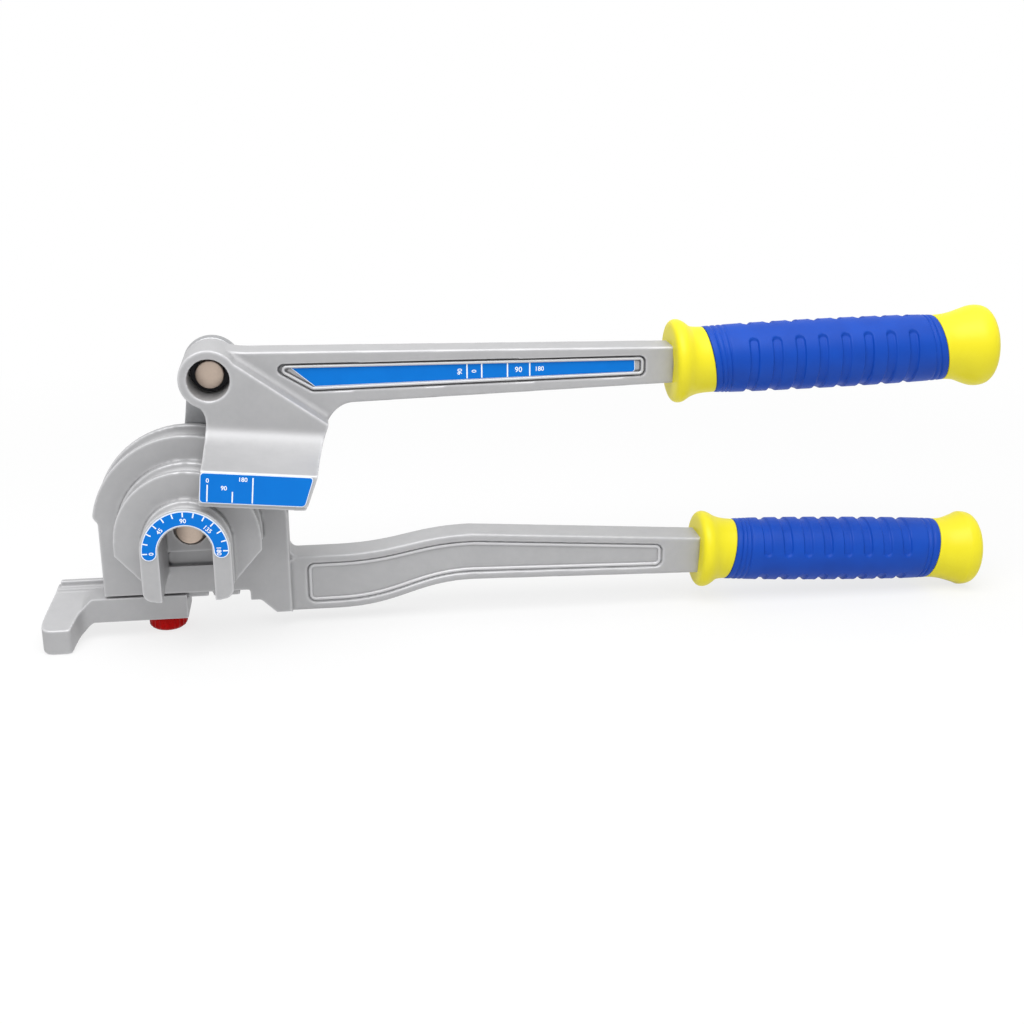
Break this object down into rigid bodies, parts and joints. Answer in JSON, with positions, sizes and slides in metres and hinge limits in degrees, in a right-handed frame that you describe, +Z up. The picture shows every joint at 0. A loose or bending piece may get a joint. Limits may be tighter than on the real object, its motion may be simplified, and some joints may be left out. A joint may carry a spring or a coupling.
{
  "type": "lever tube bender",
  "caption": "Two-handled lever tube bender with stepped grooved former, swinging shoe lever on a link, sliding tube clamp with screw knob, and ridged grips.",
  "frame": {"origin": "middle of the tool's base, on the bench it stands on", "axes": "+X along the handles towards the grips, +Y from the scale side to the link side, +Z up"},
  "size_m": [0.408, 0.061, 0.1281],
  "materials": {
    "cast_aluminium": "satin cast and blasted",
    "machined_steel": "nickel plated",
    "dark_steel": "phosphated",
    "bronze": "sintered",
    "yellow_plastic": "satin moulded",
    "blue_rubber": "soft moulded",
    "blue_plate": "printed",
    "red_plastic": "moulded"
  },
  "bodies": {
    "root": {"former_body": "cast_aluminium", "degree_scale_plate": "blue_plate", "centre_pin": "machined_steel", "centre_pin_ring": "dark_steel", "lower_arm": "cast_aluminium", "lower_arm_dowel_high": "dark_steel", "lower_arm_dowel_low": "dark_steel", "lower_grip_sleeve": "yellow_plastic", "lower_grip_cover": "blue_rubber"},
    "link": {"link_plate": "dark_steel", "link_bush": "bronze", "link_front_washer": "machined_steel", "link_back_washer": "machined_steel", "top_pin": "machined_steel", "top_pin_ring": "dark_steel"},
    "lever": {"lever_casting": "cast_aluminium", "lever_bush": "bronze", "shoe_index_plate": "blue_plate", "handle_scale_plate": "blue_plate", "upper_grip_sleeve": "yellow_plastic", "upper_grip_cover": "blue_rubber"},
    "clamp": {"clamp_bar": "cast_aluminium"},
    "knob": {"clamp_knob": "red_plastic", "clamp_stud": "dark_steel", "clamp_washer": "machined_steel"}
  },
  "joints": [
    {"name": "link_swing", "type": "hinge", "parent": "root", "child": "link", "pos_m": [-0.14248, 0.0237, 0.047], "axis": [0, -1, 0], "range_deg": [-8, 95]},
    {"name": "lever_lift", "type": "hinge", "parent": "link", "child": "lever", "pos_m": [-0.13095, 0.0151, 0.1098], "axis": [0, -1, 0], "range_deg": [0, 100]},
    {"name": "clamp_slide", "type": "slide", "parent": "root", "child": "clamp", "axis": [1, 0, 0], "range_m": [0, 0.014]},
    {"name": "knob_turn", "type": "hinge", "parent": "root", "child": "knob", "pos_m": [-0.15568, 0.011, 0.003], "axis": [0, 0, 1], "range_deg": [0, 360]}
  ]
}
